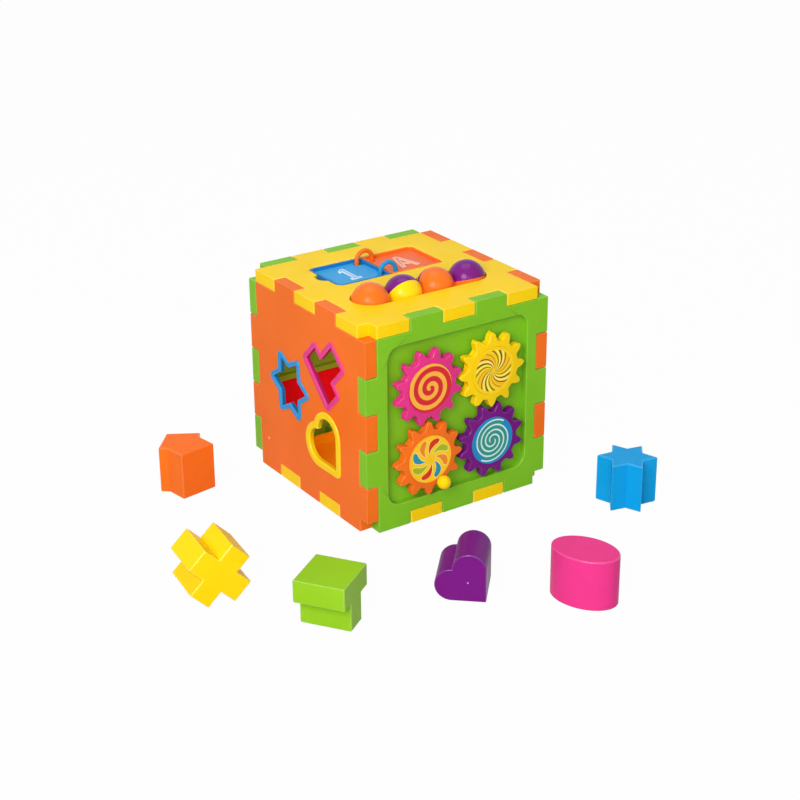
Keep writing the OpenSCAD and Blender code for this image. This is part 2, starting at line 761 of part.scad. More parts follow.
module star_block() {
    color(blue) standing(star_at, star_turn) shell() { star_2d(); star_2d(-block_wall); }
}
module tee_block() {
    color(green) lying(tee_at, tee_heading, tee_l / 2) shell() { tee_2d(); tee_2d(-block_wall); }
}
module heart_block() {
    color(purple) lying(heart_at, heart_heading, heart_s * 0.75) shell() { heart_2d(); heart_2d(-block_wall); }
}
module oval_block() {
    color(pink) standing(oval_at, oval_turn) shell() { oval_2d(); oval_2d(-block_wall); }
}
module cross_block() {
    color(yellow) lying(cross_at, cross_heading, (cross_span + cross_arm) / 2 * sin(45))
        shell() { rotate(45) cross_2d(); rotate(45) cross_2d(-block_wall); }
}
module arrow_block() {
    color(orange) standing(arrow_at, arrow_turn) shell() { arrow_2d(); arrow_2d(-block_wall); }
}

base_panel();
gear_panel();
left_sorter_panel();
right_sorter_panel();
back_panel();
top_panel();
star_frame();
tee_frame();
heart_frame();
oval_frame();
cross_frame();
arrow_frame();
pink_gear();
yellow_gear();
orange_crank_gear();
purple_gear();
red_spiral_disc();
swirl_disc();
petal_disc();
blue_spiral_disc();
gear_screws();
crank_knob();
knob_pin();
bead_axle();
bead_1_front();
bead_1_rear();
bead_2_front();
bead_2_rear();
bead_3_front();
bead_3_rear();
bead_4_top();
bead_4_under();
blue_page();
orange_page();
blue_ring();
orange_ring();
retrieval_hatch();
star_block();
tee_block();
heart_block();
oval_block();
cross_block();
arrow_block();
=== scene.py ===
"""Looks of a shape sorter cube: moulded plastic, printed discs, page figures, studio light and camera.

Sizes on the object are in millimetres, and the studio's are in metres. LAPS is a number of whole turns
that keeps fractions of a turn above zero.
"""

from __future__ import annotations

import json
import logging
import math
from dataclasses import dataclass, field
from enum import Enum
from typing import Any, Callable, Dict, List, Optional, Sequence, Tuple, Union

import bpy
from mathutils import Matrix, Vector

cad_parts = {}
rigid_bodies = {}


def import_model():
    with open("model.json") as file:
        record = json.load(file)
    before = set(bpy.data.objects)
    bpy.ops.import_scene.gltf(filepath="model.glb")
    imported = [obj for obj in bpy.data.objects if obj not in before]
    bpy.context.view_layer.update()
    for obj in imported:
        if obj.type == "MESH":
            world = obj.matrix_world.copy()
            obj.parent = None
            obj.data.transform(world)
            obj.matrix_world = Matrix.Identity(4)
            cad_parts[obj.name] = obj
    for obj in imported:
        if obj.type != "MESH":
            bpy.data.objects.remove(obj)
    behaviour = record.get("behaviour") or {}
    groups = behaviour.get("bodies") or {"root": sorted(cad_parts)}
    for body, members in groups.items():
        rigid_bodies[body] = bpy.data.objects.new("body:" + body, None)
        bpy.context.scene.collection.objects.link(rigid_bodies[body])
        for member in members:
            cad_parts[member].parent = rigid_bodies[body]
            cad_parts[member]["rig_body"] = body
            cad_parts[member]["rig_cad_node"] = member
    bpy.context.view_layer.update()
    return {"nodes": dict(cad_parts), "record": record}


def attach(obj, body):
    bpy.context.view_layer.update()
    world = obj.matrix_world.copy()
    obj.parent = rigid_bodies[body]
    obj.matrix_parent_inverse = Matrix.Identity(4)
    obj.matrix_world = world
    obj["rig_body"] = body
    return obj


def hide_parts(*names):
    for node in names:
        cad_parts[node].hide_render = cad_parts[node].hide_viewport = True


LOG = logging.getLogger("shape_sorter")
MM = 0.001
CUBE_HALF = 75.0
OUTER_REACH = 74.2
SHARP_TURN = math.radians(38)
SMOOTH_TURN = math.radians(32)
LAPS = 10.0

Colour = Tuple[float, float, float]
Point = Tuple[float, float, float]
Spot = Tuple[float, float]


def linear(colour: Colour) -> Tuple[float, float, float, float]:
    """Turns a colour as seen on screen, 0 to 255, into the shader's linear values.

    Args:
        colour: red, green and blue from 0 to 255.

    Returns:
        The linear colour with an alpha of 1.
    """
    def channel(value: float) -> float:
        """Linear value of one channel."""
        share = value / 255.0
        return share / 12.92 if share <= 0.04045 else ((share + 0.055) / 1.055) ** 2.4
    return (channel(colour[0]), channel(colour[1]), channel(colour[2]), 1.0)


class Plastic(Enum):
    """Colours of the moulded plastics, as seen on screen."""

    ORANGE = (246, 114, 26)
    GREEN = (128, 194, 36)
    YELLOW = (255, 212, 10)
    PINK = (228, 54, 134)
    PURPLE = (116, 20, 124)
    BLUE = (4, 158, 224)
    RED = (214, 14, 26)
    LABEL_BLUE = (58, 164, 224)
    LABEL_ORANGE = (240, 116, 70)
    FRAME_BLUE = (40, 146, 210)
    DEEP_BLUE = (24, 120, 190)
    BLOCK_GREEN = (144, 196, 34)
    BLOCK_YELLOW = (255, 212, 5)
    # The next two are pale colours of raised gate scars on the side panels and on the heart: painted
    # highlights.
    SCAR = (255, 190, 130)
    VIOLET = (206, 140, 214)
    STEEL = (176, 178, 182)


Value = Union["Shade", float]


@dataclass
class Shade:
    """A value that varies over a surface, used in plain expressions."""

    graph: "Graph"
    socket: bpy.types.NodeSocket

    def maths(self, operation: str, *others: Value) -> "Shade":
        """Adds one Math node that takes this value first."""
        return self.graph.node("ShaderNodeMath", {"operation": operation}, [self, *others])

    def __add__(self, other: Value) -> "Shade":
        """Sum."""
        return self.maths("ADD", other)

    __radd__ = __add__

    def __sub__(self, other: Value) -> "Shade":
        """Difference."""
        return self.maths("SUBTRACT", other)

    def __rsub__(self, other: float) -> "Shade":
        """Difference from a number."""
        return self.graph.node("ShaderNodeMath", {"operation": "SUBTRACT"}, [other, self])

    def __mul__(self, other: Value) -> "Shade":
        """Product."""
        return self.maths("MULTIPLY", other)

    __rmul__ = __mul__

    def __truediv__(self, other: Value) -> "Shade":
        """Quotient."""
        return self.maths("DIVIDE", other)

    def fraction(self) -> "Shade":
        """Part after the decimal point."""
        return self.maths("FRACT")

    def size(self) -> "Shade":
        """Value without its sign."""
        return self.maths("ABSOLUTE")

    def step(self, low: float, high: float) -> "Shade":
        """Smooth rise from 0 at low to 1 at high."""
        settings = {"interpolation_type": "SMOOTHSTEP"}
        return self.graph.node("ShaderNodeMapRange", settings, [self, low, high, 0.0, 1.0])

    def picks(self, number: int) -> "Shade":
        """Returns 1 where the value is a given whole number, and 0 at other whole numbers."""
        return 1 - (self - float(number)).size().step(0.2, 0.4)


class Graph:
    """The node tree of one material or of the surround."""

    def __init__(self, owner: Union[bpy.types.Material, bpy.types.World]) -> None:
        """Empties the owner's node tree."""
        owner.use_nodes = True
        self.tree = owner.node_tree
        self.tree.nodes.clear()

    def node(
        self,
        kind: str,
        settings: Dict[str, Any],
        inputs: Union[Sequence[Any], Dict[Any, Any]],
        output: Any = 0,
    ) -> Shade:
        """Adds any node.

        Args:
            kind: the node's type.
            settings: the node's own settings, set first.
            inputs: values or links by place in a list, or by socket in a dictionary.
            output: the output socket to return.

        Returns:
            That output, ready for an expression.
        """
        made = self.tree.nodes.new(kind)
        for key, value in settings.items():
            setattr(made, key, value)
        pairs = inputs.items() if isinstance(inputs, dict) else enumerate(inputs)
        for key, value in pairs:
            if isinstance(value, Shade):
                self.tree.links.new(value.socket, made.inputs[key])
            else:
                made.inputs[key].default_value = value
        return Shade(self, made.outputs[output] if len(made.outputs) else None)

    def place(self, centre: Point = (0.0, 0.0, 0.0)) -> Tuple[Shade, Shade, Shade]:
        """Returns x, y and z over the surface, in metres from a centre on the object."""
        where = self.node("ShaderNodeTexCoord", {}, [], "Object")
        shift = {"Vector": where, "Location": [-c for c in centre]}
        moved = self.node("ShaderNodeMapping", {"vector_type": "POINT"}, shift)
        split = self.node("ShaderNodeSeparateXYZ", {}, [moved]).socket.node
        x, y, z = (Shade(self, output) for output in split.outputs)
        return x, y, z

    def noise(self, scale: float, detail: float = 2.0) -> Shade:
        """Returns soft noise from 0 to 1 with so many features to the metre."""
        where = self.node("ShaderNodeTexCoord", {}, [], "Object")
        return self.node("ShaderNodeTexNoise", {}, {"Vector": where, "Scale": scale, "Detail": detail}, "Fac")

    def mix(self, factor: Value, first: Any, second: Any) -> Shade:
        """Returns a blend of two colours, each a colour or a link."""
        return self.node("ShaderNodeMix", {"data_type": "RGBA"}, {0: factor, 6: first, 7: second}, 2)

    def seen(self) -> Shade:
        """Returns 1 for rays from the camera and for reflected or refracted ones."""
        path = self.node("ShaderNodeLightPath", {}, []).socket.node
        rays = ("Is Camera Ray", "Is Glossy Ray", "Is Transmission Ray")
        direct, mirrored, refracted = (Shade(self, path.outputs[ray]) for ray in rays)
        return direct.maths("MAXIMUM", mirrored).maths("MAXIMUM", refracted)

    def surface(
        self,
        colour: Any,
        roughness: Value,
        bump: Optional[Shade],
        depth: float,
        sockets: Dict[str, Any],
    ) -> None:
        """Closes a material's tree with a Principled shader.

        Args:
            colour: base colour, plain or linked.
            roughness: roughness, plain or linked.
            bump: height of the surface grain, or none.
            depth: depth of that grain in metres.
            sockets: other sockets with one value all over.
        """
        inputs: Dict[Any, Any] = {"Base Color": colour, "Roughness": roughness, **sockets}
        if bump is not None:
            relief = {"Strength": 1.0, "Distance": depth, "Height": bump}
            inputs["Normal"] = self.node("ShaderNodeBump", {}, relief)
        shader = self.node("ShaderNodeBsdfPrincipled", {}, inputs)
        self.node("ShaderNodeOutputMaterial", {}, {"Surface": shader})


def new_finish(name: str) -> Tuple[bpy.types.Material, Graph]:
    """Returns a new material and its empty node tree."""
    material = bpy.data.materials.new(name)
    return material, Graph(material)


@dataclass(frozen=True)
class MouldedPlastic:
    """A moulded plastic with faint flow marks, fine grain and handling haze, and painted shade in a frame's
    neck where asked.
    """

    name: str
    plastic: Plastic
    roughness: float = 0.34
    drift: float = 0.02
    grain: float = 0.02
    gloss: float = 0.08
    # Painted shade in a frame's neck: its share, the gain of the darkened colour, and the depth in
    # millimetres over which it fades out.
    deep: float = 0.0
    neck_shade: float = 0.2
    neck_fade: float = 0.9

    def tinted(self, gain: float, lift: float = 0.0) -> Tuple[float, ...]:
        """Returns the plastic's linear colour times a gain, plus a lift, with an alpha of 1."""
        return tuple(min(1.0, c * gain + lift) for c in linear(self.plastic.value)[:3]) + (1.0,)

    def shade_colour(self, graph: Graph) -> Shade:
        """Returns the plastic's colour with its slow drift and fine specks, darkened by painted shade in the
        neck of a frame.
        """
        dark = self.tinted(1 - 1.6 * self.drift)
        light = self.tinted(1 + self.drift, 0.003)
        flow = graph.noise(22.0, 3.0).step(0.3, 0.7)
        speck = graph.noise(1400.0, 1.0).step(0.62, 0.75)
        colour = graph.mix(speck * 0.12, graph.mix(flow, dark, light), light)
        if self.deep == 0.0:
            return colour
        # Painted shade: the colour darkens behind the panel's outer face, inside the neck of a frame, where
        # less light gets in.
        outside = graph.place()[0].size().step(OUTER_REACH * MM, (OUTER_REACH + self.neck_fade) * MM)
        return graph.mix((1 - outside) * self.deep, colour, self.tinted(self.neck_shade))

    def build(self) -> bpy.types.Material:
        """Returns the finished material."""
        material, graph = new_finish(self.name)
        haze = graph.noise(60.0, 4.0).step(0.35, 0.75)
        grain = graph.noise(900.0, 2.0)
        graph.surface(
            self.shade_colour(graph),
            self.roughness + 0.08 * haze,
            grain,
            self.grain * MM,
            {"Specular IOR Level": self.gloss, "IOR": 1.5},
        )
        return material


@dataclass(frozen=True)
class DrawnSteel:
    """Plain drawn steel of the axle, pin and screws."""

    name: str = "drawn_steel"
    bright: Tuple[float, float, float, float] = (0.62, 0.63, 0.65, 1.0)
    grain: float = 0.02

    def build(self) -> bpy.types.Material:
        """Returns the finished material."""
        material, graph = new_finish(self.name)
        streak = graph.noise(700.0, 3.0).step(0.3, 0.8)
        colour = graph.mix(streak, linear(Plastic.STEEL.value), self.bright)
        graph.surface(colour, 0.28 + 0.15 * streak, streak, self.grain * MM, {"Metallic": 1.0})
        return material


@dataclass(frozen=True)
class PrintedDisc:
    """A printed round disc on a gear, seen from the front."""

    name: str
    centre: Spot
    grain: float = 0.01

    def polar(self, graph: Graph) -> Tuple[Shade, Shade]:
        """Returns the radius in millimetres and the angle in turns, anticlockwise from the right."""
        x, _, z = graph.place((self.centre[0], 0.0, self.centre[1]))
        across = x * (1 / MM)
        up = z * (1 / MM)
        radius = (across * across + up * up).maths("SQRT")
        turn = up.maths("ARCTAN2", across) / (2 * math.pi)
        return radius, turn

    def colour(self, graph: Graph) -> Shade:
        """Returns the printed colour."""
        raise NotImplementedError

    def build(self) -> bpy.types.Material:
        """Returns the finished material."""
        material, graph = new_finish(self.name)
        ink = graph.noise(2200.0, 1.0)
        roughness = 0.38 + 0.06 * ink
        graph.surface(self.colour(graph), roughness, ink, self.grain * MM, {"Specular IOR Level": 0.2})
        return material


@dataclass(frozen=True)
class RedSpiralDisc(PrintedDisc):
    """Broad warm yellow spiral on red."""

    pitch: float = 6.95
    start: float = 16.9
    blur: float = 0.035
    ground: Colour = (216, 36, 48)
    ink: Colour = (252, 182, 66)

    def colour(self, graph: Graph) -> Shade:
        """Returns the spiral's colour."""
        radius, turn = self.polar(graph)
        phase = (radius / self.pitch + turn + (LAPS - self.start / self.pitch)).fraction()
        stripe = phase.step(0.0, self.blur) * (1 - phase.step(0.5 - self.blur, 0.5))
        return graph.mix(stripe, linear(self.ground), linear(self.ink))


@dataclass(frozen=True)
class BlueSpiralDisc(PrintedDisc):
    """Two pale arms that wind out over a teal field on a blue disc."""

    pitch: float = 3.68
    lead: float = 0.59
    reach: float = 16.3
    blur: float = 0.12
    ground: Colour = (30, 136, 192)
    teal: Colour = (52, 146, 132)
    pale: Colour = (206, 240, 236)

    def colour(self, graph: Graph) -> Shade:
        """Returns the spiral's colour."""
        radius, turn = self.polar(graph)
        wound = radius / self.pitch + 2.0 * turn + (LAPS + 0.5 - self.lead)
        line = (1 - (wound.fraction() - 0.5).size().step(0.13, 0.2)) * radius.step(1.6, 2.2)
        swept = (2.0 * turn + (LAPS - self.lead / 2)).fraction()
        inside = (self.reach - self.pitch * swept - radius).step(-self.blur, self.blur)
        wheel = graph.mix(line, linear(self.teal), linear(self.pale))
        return graph.mix(inside, linear(self.ground), wheel)


@dataclass(frozen=True)
class PetalDisc(PrintedDisc):
    """Eight curved drops in four colours on yellow."""

    count: int = 8
    first: float = 75.4
    lean: float = 3.4
    middle: float = 12.3
    widest: float = 3.3
    tail: float = 3.6
    tip: float = 15.3

    def half_width(self, radius: Shade) -> Shade:
        """Returns half of a drop's width at a radius: a round end and a long tail."""
        risen = (radius - self.tail).maths("MAXIMUM", 0.0) / (self.middle - self.tail)
        grown = risen.maths("MINIMUM", 1.0)
        past = (radius - self.middle).maths("MAXIMUM", 0.0) / (self.tip - self.middle)
        end = (1 - past * past).maths("MAXIMUM", 0.0).maths("SQRT")
        return grown.maths("POWER", 1.25) * end * self.widest

    def colour(self, graph: Graph) -> Shade:
        """Returns the drops' colours."""
        radius, turn = self.polar(graph)
        offset = (self.first + self.lean * self.middle) / 360.0 + LAPS + 0.5 / self.count
        place = (offset - turn - radius * (self.lean / 360.0)) * float(self.count)
        index = place.maths("FLOOR").maths("MODULO", float(self.count))
        sideways = ((place.fraction() - 0.5) * (2 * math.pi / self.count)).size() * radius
        gap = self.half_width(radius) - sideways
        drop = gap.step(-0.1, 0.1)
        outline = gap.step(-0.65, -0.4) * radius.step(3.4, 4.4) * (1 - radius.step(15.6, 15.9))
        red, lime, amber, teal = (214, 52, 18), (166, 186, 28), (240, 140, 30), (34, 146, 178)
        inks = [red, lime, amber, teal, red, lime, teal, amber]
        ink: Any = linear(inks[0])
        for number in range(1, self.count):
            ink = graph.mix(index.picks(number), ink, linear(inks[number]))
        base = graph.mix(radius.step(16.3, 16.8), linear((255, 204, 24)), linear((255, 182, 60)))
        return graph.mix(drop, graph.mix(outline * 0.75, base, linear((255, 240, 150))), ink)


@dataclass(frozen=True)
class SwirlDisc(PrintedDisc):
    """Four sets of curved lines in black, olive, gold and brown, with bright lines between, on yellow."""

    count: int = 16
    first: float = 53.5
    twist: float = 4.7
    middle: float = 11.0
    reach: float = 15.3
    ground: Colour = (255, 212, 14)

    def colour(self, graph: Graph) -> Shade:
        """Returns the lines' colours."""
        radius, turn = self.polar(graph)
        lines = [(40, 30, 12), (120, 112, 26), (208, 150, 30), (150, 84, 24)]
        glints = [(255, 250, 110), (255, 210, 40), (255, 180, 40), (255, 240, 160)]
        offset = (self.twist * self.middle - self.first) / 360.0 + LAPS + 0.5 / self.count
        place = (turn - radius * (self.twist / 360.0) + offset) * float(self.count)
        index = place.maths("FLOOR").maths("MODULO", float(len(lines)))
        later = (place - 0.5).maths("FLOOR").maths("MODULO", float(len(lines)))
        across = (place.fraction() - 0.5).size()
        inside = (1 - radius.step(self.reach - 0.9, self.reach)) * radius.step(0.8, 2.0)
        line: Any = linear(lines[0])
        glint: Any = linear(glints[0])
        for number in range(1, len(lines)):
            line = graph.mix(index.picks(number), line, linear(lines[number]))
            glint = graph.mix(later.picks(number), glint, linear(glints[number]))
        drawn = graph.mix(across.step(0.3, 0.42) * inside, linear(self.ground), glint)
        return graph.mix((1 - across.step(0.11, 0.2)) * inside, drawn, line)


@dataclass(frozen=True)
class StripedInk:
    """Ink with slanting stripes of a second colour."""

    name: str
    base: Colour
    stripe: Colour
    share: float
    slant: float = 0.55
    density: float = 420.0

    def build(self) -> bpy.types.Material:
        """Returns the finished material."""
        material, graph = new_finish(self.name)
        x, y, _ = graph.place()
        wave = ((x * self.slant + y) * self.density + 5 * LAPS).fraction()
        stripe = wave.step(0.15, 0.3) * (1 - wave.step(0.6, 0.75))
        colour = graph.mix(stripe * self.share, linear(self.base), linear(self.stripe))
        graph.surface(colour, 0.4, None, 0.0, {"Specular IOR Level": 0.1})
        return material


class Finishes:
    """The materials, each made once."""

    def __init__(self) -> None:
        """Makes each plastic in its plain and polished states, the beads' glossy plastics and the steel."""
        moulded = [plastic for plastic in Plastic if plastic is not Plastic.STEEL]
        self.plastics = self.make(moulded, "")
        self.polished = self.make(moulded, "polished_", roughness=0.15, gloss=0.5)
        beads = (Plastic.ORANGE, Plastic.YELLOW, Plastic.PURPLE)
        self.glossy = self.make(beads, "glossy_", roughness=0.17, gloss=0.16)
        self.steel = DrawnSteel().build()

    @staticmethod
    def make(plastics: Sequence[Plastic], state: str, **settings: float) -> Dict[Plastic, bpy.types.Material]:
        """Makes plastics in one state.

        Args:
            plastics: the plastics to make.
            state: word in front of their names.
            settings: what differs from a plain moulded plastic.

        Returns:
            The material of each plastic.
        """
        return {
            plastic: MouldedPlastic(f"{state}{plastic.name.lower()}_plastic", plastic, **settings).build()
            for plastic in plastics
        }

    def pair(self, plastic: Plastic) -> Tuple[bpy.types.Material, bpy.types.Material]:
        """Returns a plastic's finish on faces and on rounded edges."""
        return self.plastics[plastic], self.polished[plastic]

    def of(self, plastic: Plastic) -> bpy.types.Material:
        """Returns the material of a plastic."""
        return self.steel if plastic is Plastic.STEEL else self.plastics[plastic]


def select_only(piece: bpy.types.Object) -> None:
    """Selects one object alone and makes it active."""
    bpy.ops.object.select_all(action="DESELECT")
    piece.hide_set(False)
    piece.select_set(True)
    bpy.context.view_layer.objects.active = piece


def paint(piece: bpy.types.Object, material: bpy.types.Material) -> None:
    """Gives a piece one material all over."""
    piece.data.materials.clear()
    piece.data.materials.append(material)


def round_outline(piece: bpy.types.Object, centre: Spot, radius: float, front: float, width: float) -> None:
    """Rounds the front edges of a wheel outside a radius.

    Args:
        piece: the wheel, which faces -Y.
        centre: x and z of its centre in metres.
        radius: radius in millimetres past which edges are rounded.
        front: y in millimetres that these edges lie in front of.
        width: width of the rounding in millimetres.
    """
    select_only(piece)
    bpy.ops.object.mode_set(mode="EDIT")
    bpy.ops.mesh.select_mode(type="EDGE")
    bpy.ops.mesh.select_all(action="DESELECT")
    bpy.ops.mesh.edges_select_sharp(sharpness=SHARP_TURN)
    bpy.ops.object.mode_set(mode="OBJECT")
    points = [vertex.co for vertex in piece.data.vertices]
    for edge in piece.data.edges:
        ends = [points[number] for number in edge.vertices]
        outside = all(math.hypot(end.x - centre[0], end.z - centre[1]) > radius * MM for end in ends)
        edge.select = edge.select and outside and all(end.y < front * MM for end in ends)
    bpy.ops.object.mode_set(mode="EDIT")
    bpy.ops.mesh.bevel(
        offset=width * MM,
        segments=4,
        affect="EDGES",
        clamp_overlap=False,
        miter_outer="ARC",
        material=1,
    )
    bpy.ops.object.mode_set(mode="OBJECT")


Outline = Tuple[Spot, float, float, float]
Region = Callable[[Vector], bool]


def weigh_outer_edges(piece: bpy.types.Object, where: Optional[Region]) -> None:
    """Marks the sharp edges that stand out, which a mould leaves rounded.

    Args:
        piece: the piece to mark.
        where: tells whether a point in millimetres lies where edges are rounded, or none for everywhere.
    """
    mesh = piece.data
    sides: Dict[Tuple[int, int], List[bpy.types.MeshPolygon]] = {}
    for face in mesh.polygons:
        for key in face.edge_keys:
            sides.setdefault(key, []).append(face)
    weights = mesh.attributes.new("bevel_weight_edge", "FLOAT", "EDGE")
    for edge in mesh.edges:
        faces = sides.get(edge.key, [])
        if len(faces) == 2:
            sharp = faces[0].normal.angle(faces[1].normal, 0.0) > SHARP_TURN
            outward = (faces[1].center - faces[0].center).dot(faces[0].normal) < 0
            meant = where is None or all(where(mesh.vertices[number].co / MM) for number in edge.vertices)
            weights.data[edge.index].value = float(sharp and outward and meant)


def softened(
    node: bpy.types.Object,
    name: str,
    materials: Sequence[bpy.types.Material],
    width: float,
    segments: int,
    outer: Optional[Outline],
    split: bool,
    where: Optional[Region],
) -> bpy.types.Object:
    """Copies a node and rounds its sharp edges as a mould does.

    Args:
        node: the node to copy.
        name: name of the copy.
        materials: finish of its faces, and finish of its rounded edges.
        width: width of the rounding in millimetres.
        segments: steps across the rounding.
        outer: what round_outline takes for a wheel, or none.
        split: whether faces are split before rounding, which suits outlines with inner corners.
        where: what weigh_outer_edges takes.

    Returns:
        The copy, in place at the origin.
    """
    select_only(node)
    bpy.ops.object.duplicate(linked=False)
    copy = bpy.context.view_layer.objects.active
    copy.name = name
    copy.data.name = name
    copy.parent = None
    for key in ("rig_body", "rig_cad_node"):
        if key in copy:
            del copy[key]
    select_only(copy)
    bpy.ops.object.mode_set(mode="EDIT")
    bpy.ops.mesh.select_all(action="SELECT")
    bpy.ops.mesh.customdata_custom_splitnormals_clear()
    bpy.ops.mesh.remove_doubles(threshold=0.06 * MM)
    bpy.ops.mesh.dissolve_limited(angle_limit=math.radians(0.6))
    if split:
        bpy.ops.mesh.quads_convert_to_tris(quad_method="BEAUTY", ngon_method="BEAUTY")
    bpy.ops.object.mode_set(mode="OBJECT")
    copy.data.materials.clear()
    for material in materials:
        copy.data.materials.append(material)
    if outer is not None:
        round_outline(copy, *outer)
    weigh_outer_edges(copy, where)
    bevel = copy.modifiers.new("moulded_edges", "BEVEL")
    bevel.width = width * MM
    bevel.segments = segments
    bevel.limit_method = "WEIGHT"
    bevel.use_clamp_overlap = False
    bevel.material = 1
    bevel.miter_outer = "MITER_ARC"
    bpy.ops.object.modifier_apply(modifier=bevel.name)
    bpy.ops.object.shade_smooth_by_angle(angle=SMOOTH_TURN)
    even = copy.modifiers.new("even_shading", "WEIGHTED_NORMAL")
    even.weight = 100
    even.keep_sharp = True
    bpy.ops.object.modifier_apply(modifier=even.name)
    return copy


@dataclass
class Assembly:
    """A sub-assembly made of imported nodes."""

    nodes: Dict[str, bpy.types.Object]
    bodies: Dict[str, str]
    finishes: Finishes
    scar_rise: float = 0.22
    scar_dip: float = 0.1
    scar_rim: float = 0.35

    def mould(
        self,
        node: str,
        materials: Sequence[bpy.types.Material],
        width: float,
        segments: int = 3,
        outer: Optional[Outline] = None,
        split: bool = True,
        where: Optional[Region] = None,
    ) -> bpy.types.Object:
        """Replaces a node by a copy with rounded edges, in its finishes and riding on the node's body.

        Args:
            node: name of the node.
            materials: finish of its faces, and finish of its rounded edges.
            width: width of the rounding in millimetres.
            segments: steps across the rounding.
            outer: what round_outline takes for a wheel, or none.
            split: whether faces are split before rounding.
            where: what weigh_outer_edges takes.

        Returns:
            The copy.
        """
        name = f"{node}_moulded"
        piece = softened(self.nodes[node], name, materials, width, segments, outer, split, where)
        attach(piece, self.bodies[node])
        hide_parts(node)
        LOG.info("%s: edges rounded by %.2f mm", node, width)
        return piece

    def keep(self, node: str, material: bpy.types.Material) -> None:
        """Keeps a node as it is, with a finish of its own."""
        paint(self.nodes[node], material)
        LOG.info("%s: finish set", node)

    def mark(
        self,
        name: str,
        body: str,
        at: Point,
        normal: Point,
        material: bpy.types.Material,
        radius: float,
    ) -> None:
        """Adds a moulding gate's small round scar on a face.

        Args:
            name: name of the scar.
            body: body that it rides on.
            at: its centre in millimetres.
            normal: the way that the face looks.
            material: its finish.
            radius: its radius in millimetres.
        """
        bpy.ops.object.select_all(action="DESELECT")
        bpy.ops.mesh.primitive_circle_add(
            vertices=20,
            radius=radius * MM,
            fill_type="NGON",
            location=Vector(at) * MM,
            rotation=Vector(normal).to_track_quat("Z", "Y").to_euler(),
        )
        scar = bpy.context.view_layer.objects.active
        scar.name = name
        bpy.ops.object.transform_apply(location=True, rotation=True, scale=True)
        bpy.ops.object.mode_set(mode="EDIT")
        bpy.ops.mesh.select_all(action="SELECT")
        outward = Vector(normal) * MM
        bpy.ops.mesh.extrude_region_move(TRANSFORM_OT_translate={"value": outward * self.scar_rise})
        bpy.ops.mesh.inset(thickness=radius * self.scar_rim * MM)
        bpy.ops.transform.translate(value=outward * -self.scar_dip)
        bpy.ops.mesh.select_all(action="SELECT")
        bpy.ops.mesh.normals_make_consistent(inside=False)
        bpy.ops.object.mode_set(mode="OBJECT")
        bpy.ops.object.shade_smooth_by_angle(angle=SMOOTH_TURN)
        paint(scar, material)
        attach(scar, body)
        LOG.info("%s: raised on %s", name, body)


@dataclass
class Cube(Assembly):
    """The six interlocking panels, the hatch and the frames of the openings."""

    edge: float = 0.7
    frame_edge: float = 0.75
    hatch_edge: float = 0.5
    edge_reach: float = 64.0
    frame_face: float = 75.5
    hatch_barrel: float = 52.0
    scar: float = 1.0

    @staticmethod
    def spread(at: Vector) -> List[float]:
        """Returns a point's three distances from the cube's middle planes, least first."""
        return sorted((abs(at.x), abs(at.y), abs(at.z - CUBE_HALF)))

    def outside(self, at: Vector) -> bool:
        """Tells whether a point lies within reach of the cube's outer faces."""
        return self.spread(at)[2] > OUTER_REACH

    def border(self, at: Vector) -> bool:
        """Tells whether a point lies on the cube's outer faces within reach of its edges."""
        return self.outside(at) and self.spread(at)[1] > self.edge_reach

    def proud(self, at: Vector) -> bool:
        """Tells whether a point lies on the part of a frame that stands out of its panel."""
        return abs(at.x) > self.frame_face

    def below_barrel(self, at: Vector) -> bool:
        """Tells whether a point lies below the hatch's barrel."""
        return at.z < self.hatch_barrel

    def build(self) -> None:
        """Dresses the panels, the frames and the hatch."""
        panels = {
            "base_panel": (Plastic.YELLOW, self.border),
            "top_panel": (Plastic.YELLOW, self.outside),
            "gear_panel": (Plastic.GREEN, self.outside),
            "back_panel": (Plastic.GREEN, self.border),
            "left_sorter_panel": (Plastic.ORANGE, self.border),
            "right_sorter_panel": (Plastic.ORANGE, self.border),
        }
        for node, (plastic, region) in panels.items():
            self.mould(node, self.finishes.pair(plastic), self.edge, where=region)
        frames = {
            "star_frame": Plastic.FRAME_BLUE, "oval_frame": Plastic.FRAME_BLUE, "tee_frame": Plastic.PINK,
            "cross_frame": Plastic.PINK, "heart_frame": Plastic.YELLOW, "arrow_frame": Plastic.YELLOW,
        }
        for node, plastic in frames.items():
            # Painted shade in each frame's neck: strong for the blue and pink frames, light for the yellow
            # ones.
            deep = 0.25 if plastic is Plastic.YELLOW else 0.7
            face = MouldedPlastic(f"{node}_plastic", plastic, deep=deep).build()
            materials = (face, self.finishes.polished[plastic])
            self.mould(node, materials, self.frame_edge, 4, where=self.proud)
        red = self.finishes.pair(Plastic.RED)
        self.mould("retrieval_hatch", red, self.hatch_edge, where=self.below_barrel)
        # The side panels' raised gate scars are coloured pale peach, a painted highlight.
        pale = self.finishes.of(Plastic.SCAR)
        for name, body, side in (("left_gate_scar_painted_highlight", "left_side", -1), ("right_gate_scar_painted_highlight", "right_side", 1)):
            self.mark(name, body, (side * CUBE_HALF, -side * 54.6, 24), (side, 0, 0), pale, self.scar)


